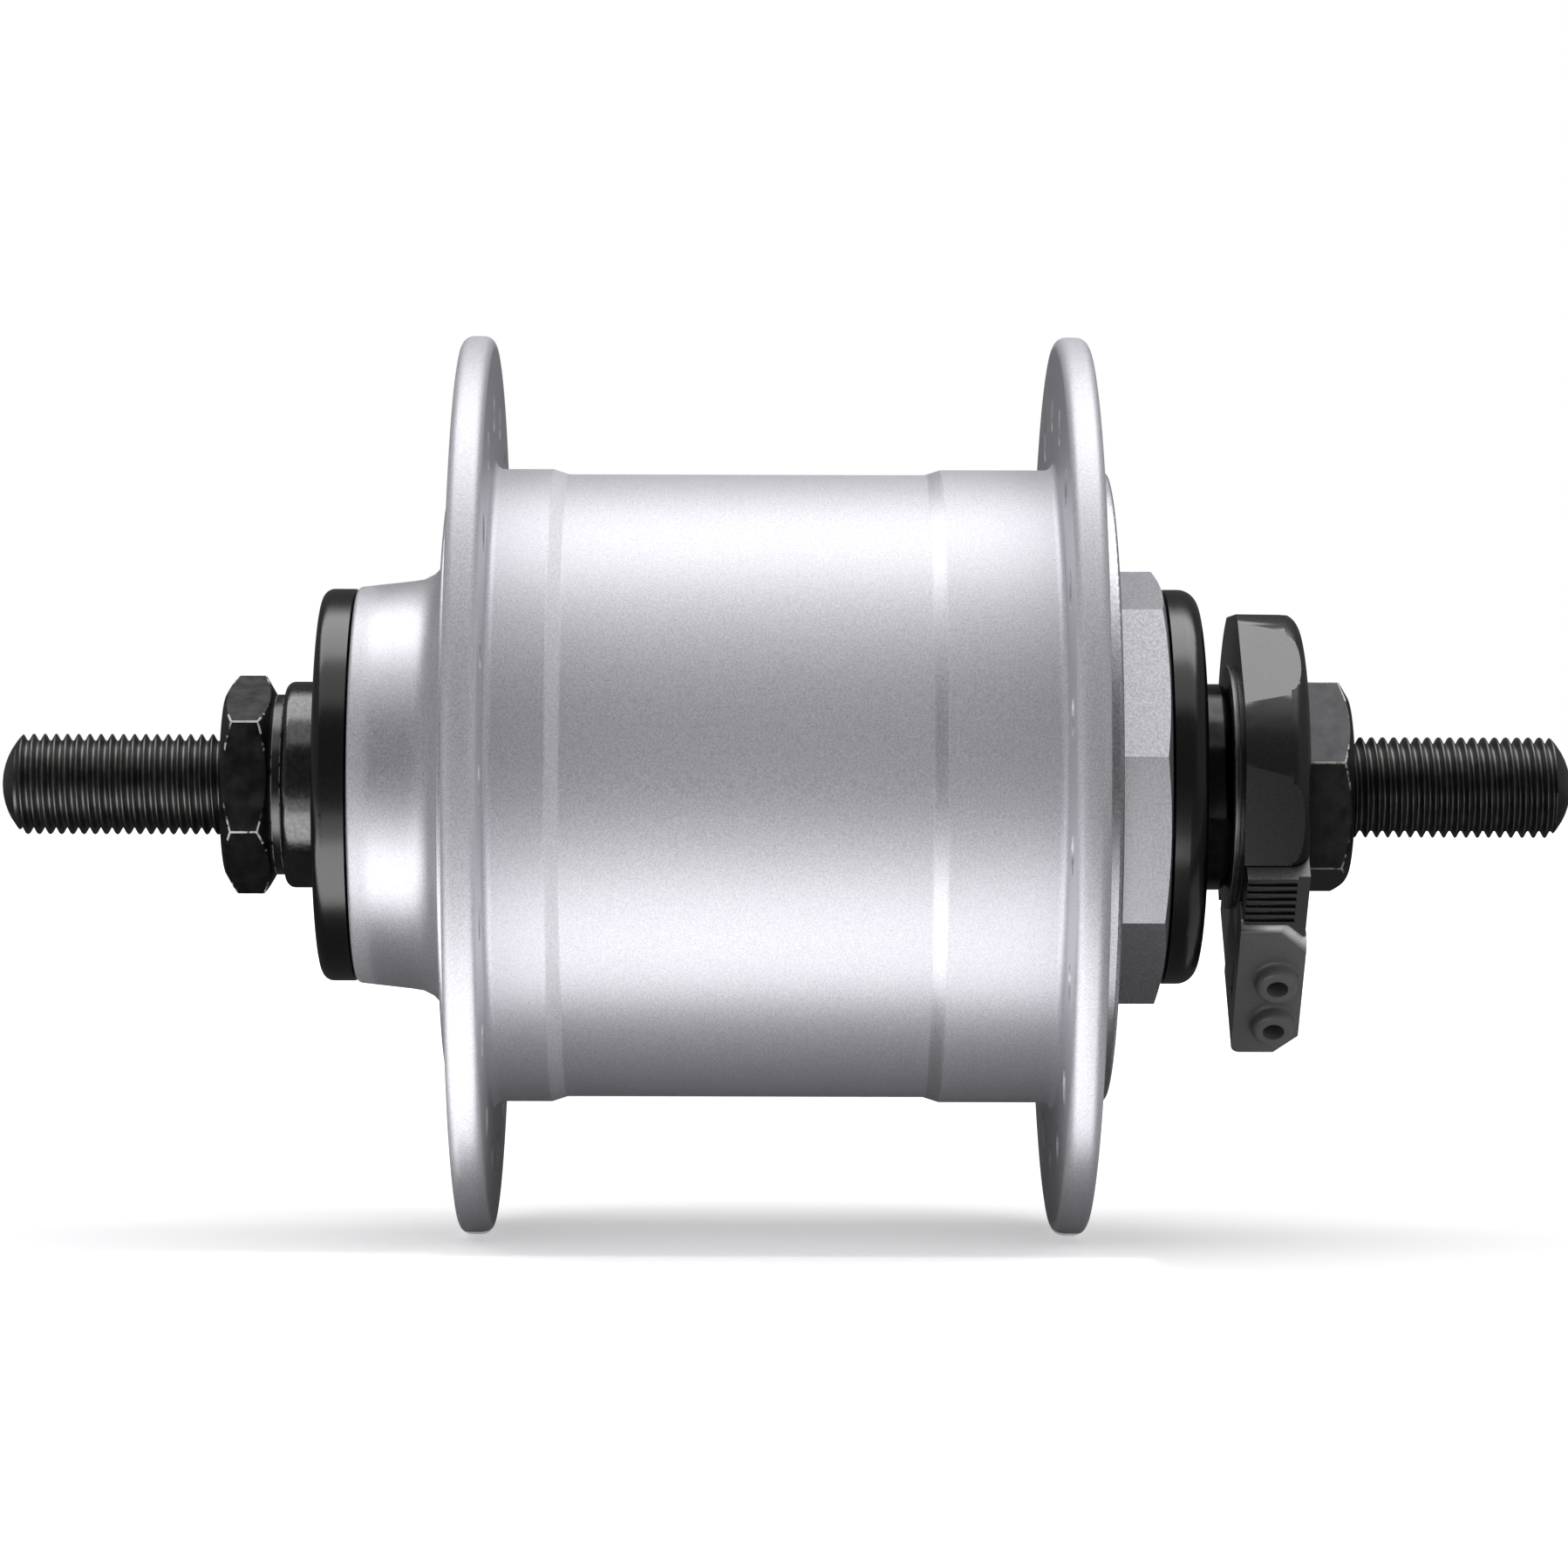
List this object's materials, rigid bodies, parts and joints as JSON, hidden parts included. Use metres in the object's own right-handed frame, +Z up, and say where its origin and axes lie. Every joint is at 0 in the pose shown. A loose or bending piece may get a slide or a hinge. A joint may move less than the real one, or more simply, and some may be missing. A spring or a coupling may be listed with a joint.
{
  "type": "bicycle hub dynamo",
  "caption": "Front hub dynamo with spoked flanges, a nutted solid axle, a claw-pole generator inside and a pull-off plug on one side.",
  "frame": {"origin": "on the axle's axis, midway between the outer faces of the two locknuts, which is the centre of the whole part's box", "axes": "+Y along the axle, the wheel turns about it; the connector is on the -Y side; +Z up; +X is the direction of travel"},
  "size_m": [0.08, 0.14, 0.08],
  "materials": {
    "shell_aluminium": "satin silver",
    "cap_aluminium": "blasted",
    "black_steel": "black oxide",
    "cone_steel": "dark hardened steel",
    "bearing_steel": "polished",
    "electrical_steel": "bare",
    "magnet_ferrite": "sintered",
    "seal_rubber": "satin black",
    "black_plastic": "fine spark texture",
    "grey_plastic": "satin grey",
    "bobbin_plastic": "moulded",
    "cage_brass": "pressed sheet",
    "copper_wire": "enamelled copper",
    "contact_brass": "bright",
    "wire_insulation": "smooth"
  },
  "bodies": {
    "axle_set": {"axle": "black_steel", "left_locknut": "black_steel", "left_spacer": "cone_steel", "left_cone": "cone_steel", "left_seal": "seal_rubber", "left_pole_ring": "electrical_steel", "right_pole_ring": "electrical_steel", "stator_core": "electrical_steel", "coil_bobbin": "bobbin_plastic", "coil_winding": "copper_wire", "stator_washer": "bearing_steel", "stator_nut": "cone_steel", "lead_wire": "wire_insulation", "right_cone": "cone_steel", "right_seal": "seal_rubber", "ground_washer": "bearing_steel", "connector_housing": "black_plastic", "live_terminal": "contact_brass", "ground_terminal": "contact_brass", "right_locknut": "black_steel"},
    "shell_set": {"hub_shell": "shell_aluminium", "magnet_yoke": "electrical_steel", "magnets": "magnet_ferrite", "end_cap": "cap_aluminium", "end_cap_o_ring": "seal_rubber", "left_cup": "bearing_steel", "right_cup": "bearing_steel"},
    "left_ball_set": {"left_balls": "bearing_steel", "left_ball_cage": "cage_brass"},
    "right_ball_set": {"right_balls": "bearing_steel", "right_ball_cage": "cage_brass"},
    "plug": {"plug_body": "black_plastic", "plug_contacts": "contact_brass"},
    "cap": {"plug_cap": "grey_plastic"}
  },
  "joints": [
    {"name": "hub_spin", "type": "hinge", "parent": "axle_set", "child": "shell_set", "pos_m": [0, 0, 0], "axis": [0, 1, 0], "continuous": true},
    {"name": "left_balls_roll", "type": "hinge", "parent": "axle_set", "child": "left_ball_set", "pos_m": [0, 0.033, 0], "axis": [0, 1, 0], "continuous": true},
    {"name": "right_balls_roll", "type": "hinge", "parent": "axle_set", "child": "right_ball_set", "pos_m": [0, -0.0281, 0], "axis": [0, 1, 0], "continuous": true},
    {"name": "plug_pull", "type": "slide", "parent": "axle_set", "child": "plug", "axis": [0.6884, 0, -0.7254], "range_m": [0, 0.012]},
    {"name": "cap_pull", "type": "slide", "parent": "plug", "child": "cap", "axis": [-0.7254, 0, -0.6884], "range_m": [0, 0.01]}
  ],
  "couplings": [
    {"joint": "left_balls_roll", "follows": "hub_spin", "ratio": 0.5962},
    {"joint": "right_balls_roll", "follows": "hub_spin", "ratio": 0.5962}
  ]
}
